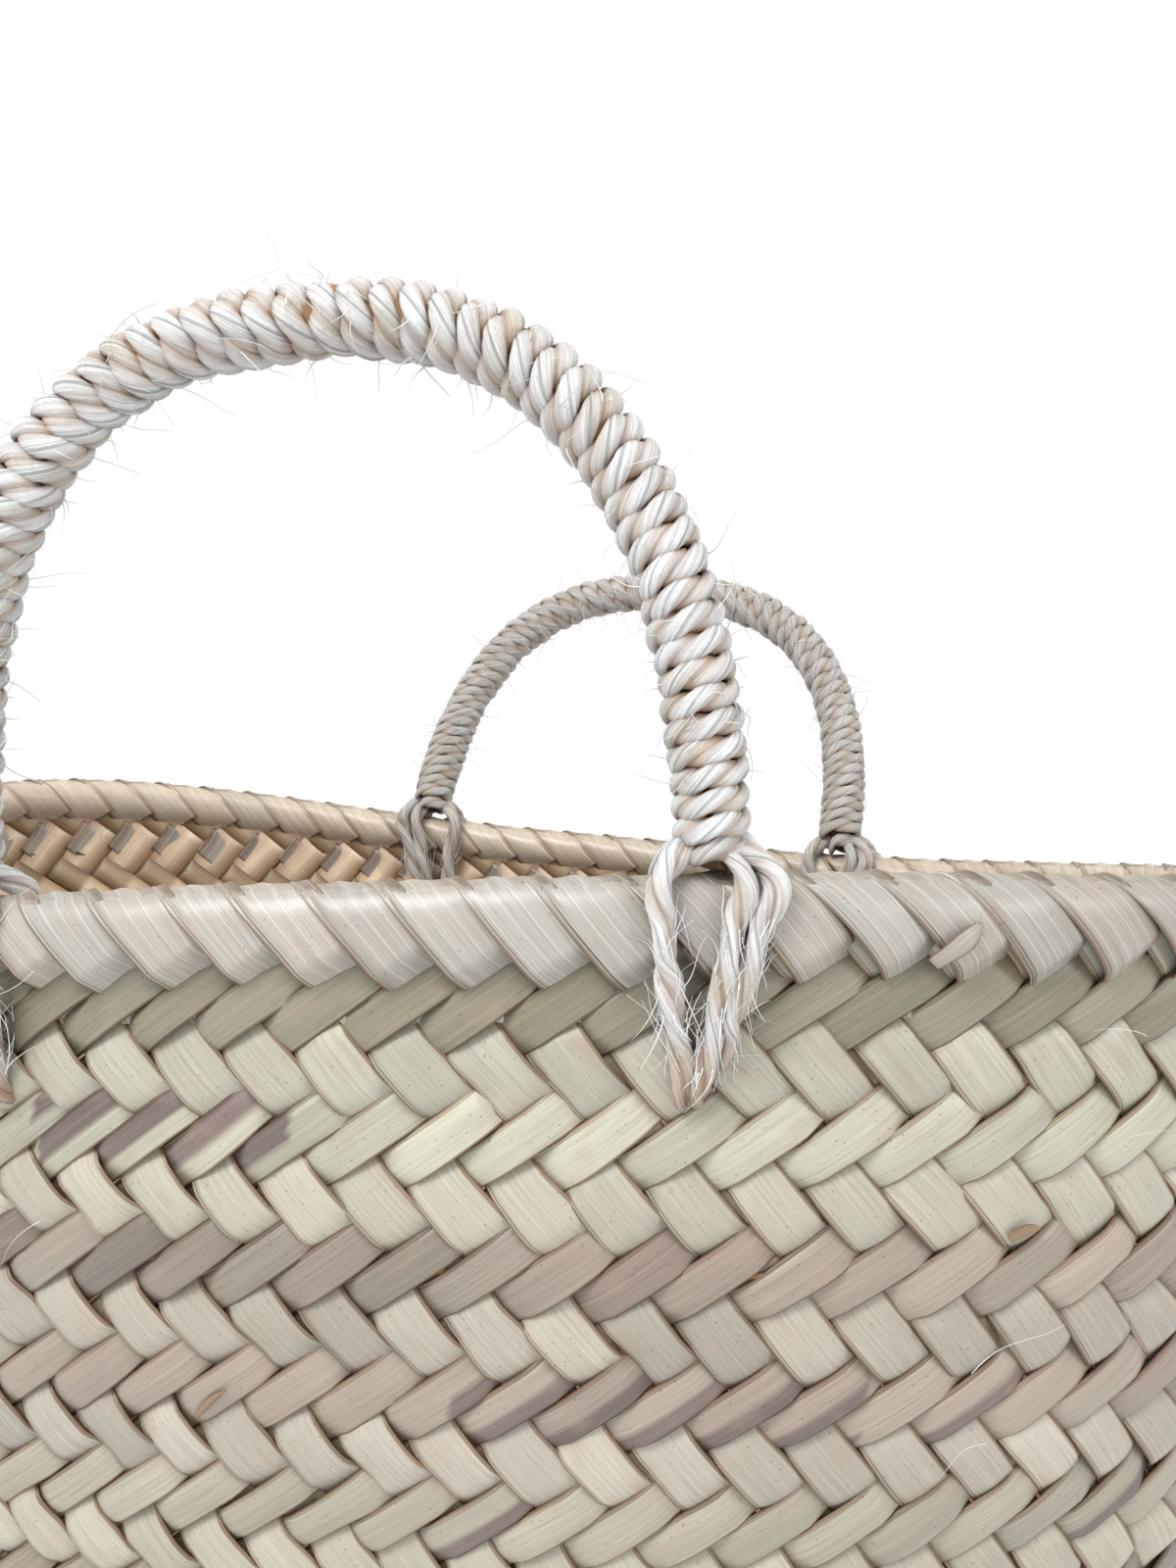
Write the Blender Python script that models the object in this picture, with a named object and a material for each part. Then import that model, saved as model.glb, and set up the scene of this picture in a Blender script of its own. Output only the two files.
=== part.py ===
"""Woven palm-leaf market basket with two wrapped rope handles.

Metres, +Z up. +X runs along the rim's long way and -Y is the front.
The origin is the middle of the base's underside, on the floor.
"""

import math

import bmesh
import bpy
from mathutils import Matrix, Vector

# Outline of the plaited body, measured on the middle of the wall's thickness
RIM_HALF_LENGTH = 0.240
RIM_HALF_WIDTH = 0.140
BASE_HALF_LENGTH = 0.174
BASE_HALF_WIDTH = 0.094
OUTLINE_POWER = 2.3
RIM_HEIGHT = 0.250
# The hand-made rim isn't level: its left end is high, and it waves a little on the way round
LEFT_END_LIFT = 0.0075
RIM_TWIST = 0.0103
RIM_WAVE = 0.0038
WALL_THICKNESS = 0.0044
# How far the wall has run out from the base towards the rim: (part of the height, part of the way)
WALL_FLARE = ((0.0, 0.0), (0.018, 0.15), (0.065, 0.30), (0.16, 0.47), (0.34, 0.70), (0.66, 0.92), (1.0, 1.0))
RING_SEGMENTS = 48

# The seams, where one turn of the plaited strip is laced to the next
UPPER_SEAM_HEIGHT = 0.162
LOWER_SEAM_HEIGHT = 0.078
SEAM_CORD_DIAMETER = 0.0024
SEAM_CORD_SIDES = 6

# Gap left between pieces that touch in the real basket
CLEARANCE = 0.0003

# Rim: a rope on the wall's edge with leaf folded over both
RIM_CORE_DIAMETER = 0.0070
RIM_CORE_SIDES = 8
RIM_WRAP_THICKNESS = 0.0015
RIM_WRAP_DEPTH = 0.022
RIM_WRAP_SHOULDER = 0.009

# Handles
HANDLE_HALF_SPAN = 0.086
HANDLE_RISE = 0.1140
HANDLE_POWER = 2.45
HANDLE_FOOT_RADIUS = 0.00875
HANDLE_MIDDLE_RADIUS = 0.0118
HANDLE_WRAP_THICKNESS = 0.0033
HANDLE_SEGMENTS = 22
HANDLE_SIDES = 12
FRONT_HANDLE_LEAN = math.radians(0.0)
BACK_HANDLE_LEAN = math.radians(31.0)
FRONT_HANDLE_OFFSET = 0.0
BACK_HANDLE_OFFSET = 0.028
# The hinge line stands this far above the rim, so that the rounded foot clears it
HINGE_ABOVE_RIM = HANDLE_FOOT_RADIUS + 0.0006
# Below the hinge line the foot is rounded: (depth, radius) as parts of the foot's radius
WRAP_FOOT_ROUNDING = ((0.70, 0.70), (0.38, 0.915))
CORE_FOOT_ROUNDING = ((0.94, 0.28), (0.72, 0.56))

# Lashings: the handle's own strands, brought down both faces of the wall and through it
LASHING_DIAMETER = 0.0056
LASHING_SIDES = 6
LASHING_TOP_BELOW_RIM = 0.0008
LASHING_TIP_DEPTH = 0.048
LASHING_SHORT_TIP_DEPTH = 0.038
LASHING_TIP_INWARD = 0.003
# The front left lashing runs farther inward than the others
LASHING_FRONT_LEFT_TIP_INWARD = 0.008
# Strands of one lashing: (name, distance outward of the foot at the top, the same at the tip, is the short one).
# The distances are in strand diameters.
LASHING_STRANDS = (
    ("inner", -1.96, -0.555, False),
    ("middle", 1.25, 0.555, False),
    ("outer", 2.54, 1.89, True),
)
LASHING_STAND_OFF = 0.0010
LASHING_HOLE_CLEARANCE = 0.0011
LASHING_BEND_STEPS = 5

LEAF_COLOUR = (0.66, 0.58, 0.42, 1.0)
RIM_COLOUR = (0.66, 0.60, 0.48, 1.0)
CORE_COLOUR = (0.50, 0.42, 0.28, 1.0)
SISAL_COLOUR = (0.78, 0.72, 0.58, 1.0)


def material(name, colour, roughness):
    """A plain Principled material."""
    made = bpy.data.materials.new(name)
    made.use_nodes = True
    shader = made.node_tree.nodes["Principled BSDF"]
    shader.inputs["Base Color"].default_value = colour
    shader.inputs["Roughness"].default_value = roughness
    made.diffuse_color = colour
    return made


def add_object(name, points, faces, colour, roughness=0.6):
    """One node, as a closed mesh with its own material and its faces turned out."""
    mesh = bpy.data.meshes.new(name)
    mesh.from_pydata([tuple(p) for p in points], [], faces)
    shape = bmesh.new()
    shape.from_mesh(mesh)
    bmesh.ops.recalc_face_normals(shape, faces=shape.faces)
    shape.to_mesh(mesh)
    shape.free()
    mesh.materials.append(material(name + "_material", colour, roughness))
    made = bpy.data.objects.new(name, mesh)
    bpy.context.scene.collection.objects.link(made)
    return made


def flare(height_part):
    """How far the wall has run out towards the rim at this part of the height."""
    for (h0, f0), (h1, f1) in zip(WALL_FLARE, WALL_FLARE[1:]):
        if height_part <= h1:
            return f0 + (f1 - f0) * (height_part - h0) / (h1 - h0)
    return WALL_FLARE[-1][1]


def outline(angle, half_length, half_width):
    """A point of the rounded oval at this angle."""
    c, s = math.cos(angle), math.sin(angle)
    x = half_length * math.copysign(abs(c) ** (2 / OUTLINE_POWER), c)
    y = half_width * math.copysign(abs(s) ** (2 / OUTLINE_POWER), s)
    return x, y


def rim_lift(angle):
    """How far the rim stands above its level at this angle."""
    left = (1 - math.cos(angle)) / 2
    return LEFT_END_LIFT * left ** 2 - RIM_TWIST * math.sin(2 * angle) + RIM_WAVE * math.sin(3 * angle)


def wall_point(angle, height, outward=0.0, along_slope=True):
    """A point at this height under a level rim, pushed out of the wall's middle surface.

    Where the rim stands higher, the height is stretched to match.
    """
    part = height / RIM_HEIGHT
    push = outward
    lower = flare(max(part - 0.01, 0.0))
    upper = flare(min(part + 0.01, 1.0))
    run = (upper - lower) * (RIM_HALF_LENGTH - BASE_HALF_LENGTH)
    rise = (min(part + 0.01, 1.0) - max(part - 0.01, 0.0)) * RIM_HEIGHT
    slope = math.hypot(run, rise)
    half_length = BASE_HALF_LENGTH + flare(part) * (RIM_HALF_LENGTH - BASE_HALF_LENGTH)
    half_width = BASE_HALF_WIDTH + flare(part) * (RIM_HALF_WIDTH - BASE_HALF_WIDTH)
    if along_slope:
        half_length += push * rise / slope
        half_width += push * rise / slope
        height -= push * run / slope
    else:
        half_length += push
        half_width += push
    x, y = outline(angle, half_length, half_width)
    return Vector((x, y, height + rim_lift(angle) * height / RIM_HEIGHT))


def ring(name, section, colour):
    """Sweeps a closed section, a list of (height, outward) pairs, round the basket."""
    points, faces = [], []
    count = len(section)
    for i in range(RING_SEGMENTS):
        angle = 2 * math.pi * i / RING_SEGMENTS
        points += [wall_point(angle, h, out) for h, out in section]
    for i in range(RING_SEGMENTS):
        here, there = i * count, (i + 1) % RING_SEGMENTS * count
        for j in range(count):
            k = (j + 1) % count
            faces.append((here + j, here + k, there + k, there + j))
    return add_object(name, points, faces, colour)


def course(name, low, high):
    """One turn of the plaited strip, between two heights."""
    between = [p * RIM_HEIGHT for p, _ in WALL_FLARE if low + 0.004 < p * RIM_HEIGHT < high - 0.004]
    heights = [low] + between + [high]
    half = WALL_THICKNESS / 2
    section = [(h, half) for h in heights] + [(h, -half) for h in reversed(heights)]
    return ring(name, section, LEAF_COLOUR)


def round_section(height, diameter, sides, turn=0.0):
    """A many-sided cord section centred on the wall's middle surface."""
    radius = diameter / 2
    angles = [turn + 2 * math.pi * i / sides for i in range(sides)]
    return [(height + radius * math.sin(a), radius * math.cos(a)) for a in angles]


def seam_gap():
    """Half of the height left free between two turns for the lacing cord."""
    return SEAM_CORD_DIAMETER / 2 + CLEARANCE


def rim_core_height():
    return RIM_HEIGHT - RIM_WRAP_THICKNESS - CLEARANCE - RIM_CORE_DIAMETER / 2


def wall_top():
    return rim_core_height() - RIM_CORE_DIAMETER / 2 - CLEARANCE


def build_base():
    """The oval floor of the basket, with its seam to the first turn."""
    points, faces = [], []
    edge = seam_gap() + WALL_THICKNESS / 2
    for height in (0.0, WALL_THICKNESS):
        for i in range(RING_SEGMENTS):
            angle = 2 * math.pi * i / RING_SEGMENTS
            x, y = outline(angle, BASE_HALF_LENGTH - edge, BASE_HALF_WIDTH - edge)
            points.append(Vector((x, y, height)))
    n = RING_SEGMENTS
    faces.append(tuple(reversed(range(n))))
    faces.append(tuple(range(n, 2 * n)))
    for i in range(n):
        k = (i + 1) % n
        faces.append((i, k, n + k, n + i))
    add_object("base_plait", points, faces, LEAF_COLOUR)


def build_base_seam():
    """The lacing cord between the base and the first turn of the wall."""
    points, faces = [], []
    radius = SEAM_CORD_DIAMETER / 2
    inset = WALL_THICKNESS / 2
    n = SEAM_CORD_SIDES
    for i in range(RING_SEGMENTS):
        angle = 2 * math.pi * i / RING_SEGMENTS
        for j in range(n):
            a = 2 * math.pi * j / n
            out = radius * math.cos(a) - inset
            x, y = outline(angle, BASE_HALF_LENGTH + out, BASE_HALF_WIDTH + out)
            points.append(Vector((x, y, WALL_THICKNESS / 2 + radius * math.sin(a))))
    for i in range(RING_SEGMENTS):
        here, there = i * n, (i + 1) % RING_SEGMENTS * n
        for j in range(n):
            k = (j + 1) % n
            faces.append((here + j, here + k, there + k, there + j))
    add_object("base_seam_cord", points, faces, CORE_COLOUR)


def build_first_course():
    """The lowest turn. Its foot turns in under the wall to meet the base."""
    low = LOWER_SEAM_HEIGHT - seam_gap()
    half = WALL_THICKNESS / 2
    inner_edge = -half + seam_gap()
    heights = [p * RIM_HEIGHT for p, _ in WALL_FLARE if 0.002 < p * RIM_HEIGHT < low - 0.004] + [low]
    section = [("floor", inner_edge, 0.0), ("floor", half, 0.0)]
    section += [("wall", h, half) for h in heights]
    section += [("wall", h, -half) for h in reversed(heights) if h > 2 * WALL_THICKNESS]
    section += [("floor", inner_edge, WALL_THICKNESS)]
    points, faces = [], []
    count = len(section)
    for i in range(RING_SEGMENTS):
        angle = 2 * math.pi * i / RING_SEGMENTS
        for kind, first, second in section:
            if kind == "wall":
                points.append(wall_point(angle, first, second))
            else:
                x, y = outline(angle, BASE_HALF_LENGTH + first, BASE_HALF_WIDTH + first)
                points.append(Vector((x, y, second)))
    for i in range(RING_SEGMENTS):
        here, there = i * count, (i + 1) % RING_SEGMENTS * count
        for j in range(count):
            k = (j + 1) % count
            faces.append((here + j, here + k, there + k, there + j))
    add_object("wall_course_lower", points, faces, LEAF_COLOUR)


def build_body():
    """Base, three turns of plait, the seams between them, and the rim."""
    gap = seam_gap()
    build_base()
    build_base_seam()
    build_first_course()
    ring("seam_cord_lower", round_section(LOWER_SEAM_HEIGHT, SEAM_CORD_DIAMETER, SEAM_CORD_SIDES), CORE_COLOUR)
    course("wall_course_middle", LOWER_SEAM_HEIGHT + gap, UPPER_SEAM_HEIGHT - gap)
    ring("seam_cord_upper", round_section(UPPER_SEAM_HEIGHT, SEAM_CORD_DIAMETER, SEAM_CORD_SIDES), CORE_COLOUR)
    upper = course("wall_course_upper", UPPER_SEAM_HEIGHT + gap, wall_top())
    half_turn = math.pi / RIM_CORE_SIDES
    core = round_section(rim_core_height(), RIM_CORE_DIAMETER, RIM_CORE_SIDES, half_turn)
    ring("rim_core_rope", core, CORE_COLOUR)
    ring("rim_leaf_wrap", rim_wrap_section(), RIM_COLOUR)
    return upper


def rim_wrap_section():
    """The folded leaf: a channel closed at the top, over the rope and the wall's edge."""
    low = RIM_HEIGHT - RIM_WRAP_DEPTH
    shoulder = RIM_HEIGHT - RIM_WRAP_SHOULDER
    narrow = WALL_THICKNESS / 2 + CLEARANCE
    wide = RIM_CORE_DIAMETER / 2 + CLEARANCE
    skin = RIM_WRAP_THICKNESS
    under = rim_core_height()
    outer = [(low, narrow + skin), (shoulder, wide + skin), (under + 0.0022, wide + skin), (RIM_HEIGHT, 0.0024)]
    inner = [(low, narrow), (shoulder - 0.002, narrow + 0.0004), (under - 0.0012, wide), (under + 0.0020, wide)]
    inner += [(RIM_HEIGHT - skin, 0.0018)]
    left = [(h, -o) for h, o in reversed(outer)]
    back = [(h, -o) for h, o in inner]
    forth = [(h, o) for h, o in reversed(inner)]
    return outer + left + back + forth


def rim_outer(height):
    """How far the rim's outer face stands from the wall's middle surface."""
    low = RIM_HEIGHT - RIM_WRAP_DEPTH
    shoulder = RIM_HEIGHT - RIM_WRAP_SHOULDER
    narrow = WALL_THICKNESS / 2 + CLEARANCE + RIM_WRAP_THICKNESS
    wide = RIM_CORE_DIAMETER / 2 + CLEARANCE + RIM_WRAP_THICKNESS
    if height < low:
        return WALL_THICKNESS / 2
    return narrow + (wide - narrow) * min((height - low) / (shoulder - low), 1.0)


def angle_at(x, side):
    """The outline angle where the rim has this X, on the front (-1) or the back (+1)."""
    c = math.copysign(min(abs(x) / RIM_HALF_LENGTH, 1.0) ** (OUTLINE_POWER / 2), x)
    return side * math.acos(c)


def sweep(path, radii, sides, first_side):
    """Rings of points round a path. first_side is square to the path's plane."""
    rings = []
    for i, point in enumerate(path):
        before, after = path[max(i - 1, 0)], path[min(i + 1, len(path) - 1)]
        along = (after - before).normalized()
        across = (first_side - along * first_side.dot(along)).normalized()
        other = along.cross(across)
        turned = [2 * math.pi * j / sides for j in range(sides)]
        rings.append([point + radii[i] * (across * math.cos(a) + other * math.sin(a)) for a in turned])
    return rings


def tube_faces(count, sides, start=0, flip=False):
    """The side faces of stacked rings."""
    faces = []
    for i in range(count - 1):
        for j in range(sides):
            k = (j + 1) % sides
            a, b = start + i * sides, start + (i + 1) * sides
            face = (a + j, a + k, b + k, b + j)
            faces.append(tuple(reversed(face)) if flip else face)
    return faces


def solid_cord(name, path, radii, sides, first_side, colour):
    """A closed cord along a path, capped at both ends."""
    rings = sweep(path, radii, sides, first_side)
    points = [p for one in rings for p in one]
    faces = tube_faces(len(rings), sides)
    faces.append(tuple(reversed(range(sides))))
    last = (len(rings) - 1) * sides
    faces.append(tuple(range(last, last + sides)))
    return add_object(name, points, faces, colour)


def hollow_cord(name, path, outer_radii, inner_radii, sides, first_side, colour):
    """A pipe along a path, open at both ends."""
    outer = sweep(path, outer_radii, sides, first_side)
    inner = sweep(path, inner_radii, sides, first_side)
    points = [p for one in outer + inner for p in one]
    count = len(path)
    start = count * sides
    faces = tube_faces(count, sides) + tube_faces(count, sides, start, flip=True)
    for j in range(sides):
        k = (j + 1) % sides
        faces.append((k, j, start + j, start + k))
        last, inner_last = (count - 1) * sides, start + (count - 1) * sides
        faces.append((last + j, last + k, inner_last + k, inner_last + j))
    return add_object(name, points, faces, colour)


def foot_point(x, side):
    """The hinge point of a handle foot: over the rim, on the middle of the wall."""
    point = wall_point(angle_at(x, side), RIM_HEIGHT)
    return point + Vector((0.0, 0.0, HINGE_ABOVE_RIM))


def handle_frame(offset, side, lean):
    """The matrix from a handle's own frame (X along the hinge, Z up its legs) to the world."""
    left = foot_point(offset - HANDLE_HALF_SPAN, side)
    right = foot_point(offset + HANDLE_HALF_SPAN, side)
    along = (right - left).normalized()
    up = (Vector((0, 0, 1)) - along * along.z).normalized()
    up = Matrix.Rotation(-side * lean, 3, along) @ up
    away = up.cross(along)
    middle = (left + right) / 2
    frame = Matrix((along, away, up)).transposed().to_4x4()
    frame.translation = middle
    return frame, (right - left).length / 2


def handle_arch(half_span):
    """Centre line of a handle in its own frame, foot to foot, and how near each point is to the middle."""
    path, middle = [], []
    for i in range(HANDLE_SEGMENTS + 1):
        angle = math.pi * (1 - i / HANDLE_SEGMENTS)
        c, s = math.cos(angle), max(math.sin(angle), 0.0)
        x = half_span * math.copysign(abs(c) ** (2 / HANDLE_POWER), c)
        path.append(Vector((x, 0.0, HANDLE_RISE * s ** (2 / HANDLE_POWER))))
        middle.append(s)
    return path, middle


def with_feet(path, radii, rounding, foot_radius):
    """Adds the rounded feet below the hinge line at both ends of the arch."""
    down = Vector((0, 0, -1))
    start = [path[0] + down * depth * foot_radius for depth, _ in rounding]
    end = [path[-1] + down * depth * foot_radius for depth, _ in reversed(rounding)]
    low = [part * foot_radius for _, part in rounding]
    return start + path + end, low + radii + low[::-1]


def build_handle(prefix, offset, side, lean):
    """Core rope and the cord wound round it, drawn about the hinge line."""
    frame, half_span = handle_frame(offset, side, lean)
    path, middle = handle_arch(half_span)
    grow = HANDLE_MIDDLE_RADIUS - HANDLE_FOOT_RADIUS
    outer = [HANDLE_FOOT_RADIUS + grow * m for m in middle]
    core = [r - HANDLE_WRAP_THICKNESS - CLEARANCE for r in outer]
    across = Vector((0, 1, 0))
    wrap_path, wrap_outer = with_feet(path, outer, WRAP_FOOT_ROUNDING, HANDLE_FOOT_RADIUS)
    n = len(WRAP_FOOT_ROUNDING)
    hole = [core[0] + CLEARANCE] * n + [r + CLEARANCE for r in core] + [core[-1] + CLEARANCE] * n
    wrap_name = prefix + "_handle_cord_wrap"
    wrap = hollow_cord(wrap_name, wrap_path, wrap_outer, hole, HANDLE_SIDES, across, SISAL_COLOUR)
    core_path, core_radii = with_feet(path, core, CORE_FOOT_ROUNDING, HANDLE_FOOT_RADIUS)
    core_name = prefix + "_handle_core_rope"
    rope = solid_cord(core_name, core_path, core_radii, HANDLE_SIDES, across, CORE_COLOUR)
    pivot = bpy.data.objects.new(prefix + "_handle_pivot", None)
    bpy.context.scene.collection.objects.link(pivot)
    pivot.matrix_world = frame
    for piece in (wrap, rope):
        piece.parent = pivot


def lashing_path(foot_x, side, top_x, tip_x, tip_depth):
    """Down the outside of the wall, through it at the tip, and up the inside."""
    radius = LASHING_DIAMETER / 2
    on_wall = WALL_THICKNESS / 2 + LASHING_STAND_OFF + radius
    tip = RIM_HEIGHT - tip_depth
    rim_low = RIM_HEIGHT - RIM_WRAP_DEPTH
    stand = LASHING_STAND_OFF + radius
    stops = [(RIM_HEIGHT - LASHING_TOP_BELOW_RIM, rim_outer(RIM_HEIGHT) + stand)]
    stops.append((RIM_HEIGHT - RIM_WRAP_SHOULDER, rim_outer(RIM_HEIGHT) + stand))
    stops.append((rim_low, rim_outer(rim_low) + stand))
    if tip + on_wall < rim_low - 0.012:
        stops.append((rim_low - 0.008, on_wall + 0.0003))
    bend = []
    for i in range(LASHING_BEND_STEPS + 1):
        angle = math.pi / 2 * i / LASHING_BEND_STEPS
        bend.append((tip + on_wall * (1 - math.sin(angle)), on_wall * math.cos(angle)))
    down = stops + bend
    whole = down + [(h, -o) for h, o in reversed(down[:-1])]
    path = []
    for height, out in whole:
        part = min(max((RIM_HEIGHT - height) / (tip_depth - on_wall), 0.0), 1.0)
        x = foot_x + top_x + (tip_x - top_x) * part
        path.append(wall_point(angle_at(x, side), height, out))
    return path


def lashing_cutter(name, foot_x, side, tips, depth):
    """A plug through the wall that leaves room for strands side by side at a tip."""
    radius = LASHING_DIAMETER / 2 + LASHING_HOLE_CLEARANCE
    low_x, high_x = min(tips), max(tips)
    corner = radius * math.tan(math.pi / 8)
    shape = [(high_x + radius, corner), (high_x + corner, radius)]
    shape += [(low_x - corner, radius), (low_x - radius, corner)]
    shape += [(x, -z) for x, z in reversed(shape)]
    points = []
    for reach in (-0.006, 0.006):
        for x, z in shape:
            angle = angle_at(foot_x + x, side)
            points.append(wall_point(angle, RIM_HEIGHT - depth + z, reach))
    n = len(shape)
    faces = [tuple(reversed(range(n))), tuple(range(n, 2 * n))]
    faces += [(i, (i + 1) % n, n + (i + 1) % n, n + i) for i in range(n)]
    cutter = add_object(name, points, faces, CORE_COLOUR)
    cutter.hide_render = True
    cutter.display_type = "WIRE"
    return cutter


def cut(piece, cutter):
    modifier = piece.modifiers.new("hole_" + cutter.name, "BOOLEAN")
    modifier.operation = "DIFFERENCE"
    modifier.solver = "EXACT"
    modifier.object = cutter


def build_lashing(prefix, foot_x, side, outward, tip_inward, wall):
    """The strands that hold one handle foot, and the holes that they pass through."""
    tips = []
    for name, top, tip, is_short in LASHING_STRANDS:
        depth = LASHING_SHORT_TIP_DEPTH if is_short else LASHING_TIP_DEPTH
        top_x = outward * top * LASHING_DIAMETER
        tip_x = outward * (tip * LASHING_DIAMETER - tip_inward * depth / LASHING_TIP_DEPTH)
        path = lashing_path(foot_x, side, top_x, tip_x, depth)
        radii = [LASHING_DIAMETER / 2] * len(path)
        across = Vector((1, 0, 0))
        solid_cord(prefix + "_lashing_" + name, path, radii, LASHING_SIDES, across, SISAL_COLOUR)
        drop = LASHING_DIAMETER * 0.04
        if is_short:
            cut(wall, lashing_cutter(prefix + "_short_hole", foot_x, side, [tip_x], depth - drop))
        else:
            tips.append(tip_x)
    cut(wall, lashing_cutter(prefix + "_hole", foot_x, side, tips, LASHING_TIP_DEPTH - LASHING_DIAMETER * 0.04))


def build_all():
    wall = build_body()
    build_handle("front", FRONT_HANDLE_OFFSET, -1, FRONT_HANDLE_LEAN)
    build_handle("back", BACK_HANDLE_OFFSET, 1, BACK_HANDLE_LEAN)
    for prefix, offset, side in (("front", FRONT_HANDLE_OFFSET, -1), ("back", BACK_HANDLE_OFFSET, 1)):
        for hand, outward in (("left", -1), ("right", 1)):
            inward = LASHING_TIP_INWARD
            if prefix == "front" and hand == "left":
                inward = LASHING_FRONT_LEFT_TIP_INWARD
            foot_x = offset + outward * HANDLE_HALF_SPAN
            build_lashing(prefix + "_" + hand, foot_x, side, outward, inward, wall)


for old in list(bpy.data.objects):
    bpy.data.objects.remove(old, do_unlink=True)
build_all()
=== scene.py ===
"""Looks of the woven palm-leaf market basket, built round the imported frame."""

import math

import bpy
import numpy as np
from mathutils import Matrix, Vector


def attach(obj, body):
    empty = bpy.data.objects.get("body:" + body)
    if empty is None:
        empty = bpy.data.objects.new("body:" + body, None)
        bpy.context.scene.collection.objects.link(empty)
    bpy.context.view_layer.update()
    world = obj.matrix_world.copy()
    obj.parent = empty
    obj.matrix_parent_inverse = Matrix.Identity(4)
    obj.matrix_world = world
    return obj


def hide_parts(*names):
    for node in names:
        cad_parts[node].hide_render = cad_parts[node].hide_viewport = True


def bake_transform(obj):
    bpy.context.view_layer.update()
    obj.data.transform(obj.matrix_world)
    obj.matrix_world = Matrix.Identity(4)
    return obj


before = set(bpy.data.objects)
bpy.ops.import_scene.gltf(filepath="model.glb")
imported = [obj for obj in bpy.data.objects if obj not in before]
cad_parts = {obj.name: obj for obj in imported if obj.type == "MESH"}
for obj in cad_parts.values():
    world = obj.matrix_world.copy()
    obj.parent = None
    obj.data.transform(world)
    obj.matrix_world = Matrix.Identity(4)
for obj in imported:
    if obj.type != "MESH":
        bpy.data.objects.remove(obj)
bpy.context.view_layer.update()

MM = 0.001

# The body, as in the CAD: half lengths and half widths at the rim and at the base
RIM_HALF = (0.240, 0.140)
BASE_HALF = (0.174, 0.094)
OUTLINE_POWER = 2.3
RIM_HEIGHT = 0.250
LEFT_END_LIFT = 0.0075
RIM_TWIST = 0.0103
RIM_WAVE = 0.0038
# Down the middle of the wall, from the rim to the edge of the base: (how far out, height)
PROFILE = (
    (1.0, 0.250), (0.92, 0.165), (0.70, 0.085), (0.47, 0.040),
    (0.30, 0.0163), (0.16, 0.0062), (-0.01, 0.0026),
)

# The plait: twill over two and under two, laid on the bias
STRANDS = 72
ROW = 0.00715
RIM_DEPTH = 0.0185
U_SHARE = 0.37  # of a strand's pitch in each row, for the strands that fall to the right
V_SHARE = 1.0 - U_SHARE
FIRST_FLOAT = {"U": 2.5, "V": 0.5}  # the row at which strand 0 lies on top
LAST_ROW = 33.4
UPPER_SEAM_ROW = 8.5
LOWER_SEAM_ROW = 20.5
LEAF_RISE = 0.00100
LEAF_THICKNESS = 0.00085
LEAF_WIDTH = {"U": 1.02, "V": 1.05}  # against the pitch, so that neighbours lap a little
STEPS_PER_ROW = 6

# Leaves folded over the rim
WRAP_SLOPE = math.radians(51.0)
WRAP_LAP = 0.00092
WRAP_FOOT = 0.0057  # way up the outside before a wrap bows
WRAP_TOP = 0.61  # share of a wrap's length at which it is over the top
LOWEST_NORMAL = 0.004  # above this depth the wall's normal is taken from here

# The floor's strands
FLOOR_SPACING = 0.0112
FLOOR_HEIGHT = 0.0030
FLOOR_MARGIN = 0.004
FLOOR_STEPS = 60

# Handles, as in the CAD
HANDLE_HALF_SPAN = 0.086
HANDLE_RISE = 0.1140
HANDLE_POWER = 2.45
HANDLE_FOOT_RADIUS = 0.00875
HANDLE_MIDDLE_RADIUS = 0.0118
HINGE_ABOVE_RIM = HANDLE_FOOT_RADIUS + 0.0006
HANDLES = {"front": (0.0, -1, 0.0), "back": (0.028, 1, math.radians(31.0))}  # offset, side, lean

# The cord wound round a handle, which the CAD shows as one smooth cover
FOOT_TURN = 0.0051
MIDDLE_TURN = 0.0066
WRAP_CORD = 1.20  # diameter of the cord against the length of a turn
WRAP_PLY_PITCH = 0.0185
WRAP_FLATNESS = {"front": 0.76, "back": 0.50}
WRAP_BELOW = 0.0074  # how far it goes below the hinge
SWING_CLEARANCE = 0.0088  # radius to which the feet are rounded
SAMPLES_PER_TURN = 40

# Lashings: how far outward of the foot a strand starts and ends, and how deep it goes
CORD = 0.0058
LASHING_PLY_PITCH = 0.034
STRAND_PLACES = {
    "inner": (-0.0108, -0.0022, 0.046),
    "middle": (0.0060, 0.0012, 0.046),
    "outer": (0.0120, 0.0044, 0.040),
}
TIP_INWARD = 0.003
FRONT_LEFT_TIP_INWARD = 0.008
FRAYED_PER_STRAND = 85

# Thin cords along the seams
SEAM_CORD = 0.0015
SEAM_PLY_PITCH = 0.006


def srgb(r, g, b):
    c = np.array([r, g, b]) / 255
    return np.where(c <= 0.04045, c / 12.92, ((c + 0.055) / 1.055) ** 2.4)


LEAF_TONE = 0.54
RIM_TONE = 0.52
INSIDE_PAINTED_LIGHT = np.array([2.55, 2.42, 2.34])  # painted light: the back of a leaf, on the inside of the basket, lightened against its face
RIM_INSIDE = np.array([1.40, 1.30, 1.15])  # a rim leaf's far side against its near one
CREAM = srgb(214, 208, 190)
MAUVE = srgb(134, 117, 110)
EDGE_BROWN = np.array([0.46, 0.33, 0.24])
# colour of the painted shade where a strand dives under another
DIVE_SHADE_BROWN = np.array([0.52, 0.38, 0.26])
RIM_GREY = srgb(208, 204, 194)
RIM_PINK = srgb(205, 194, 182)
WRAP_SHADE = np.array([0.66, 0.60, 0.54])
FLOOR_TONES = (srgb(200, 192, 172), srgb(184, 174, 152))
SLIVER_BROWN = srgb(168, 138, 108)
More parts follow.
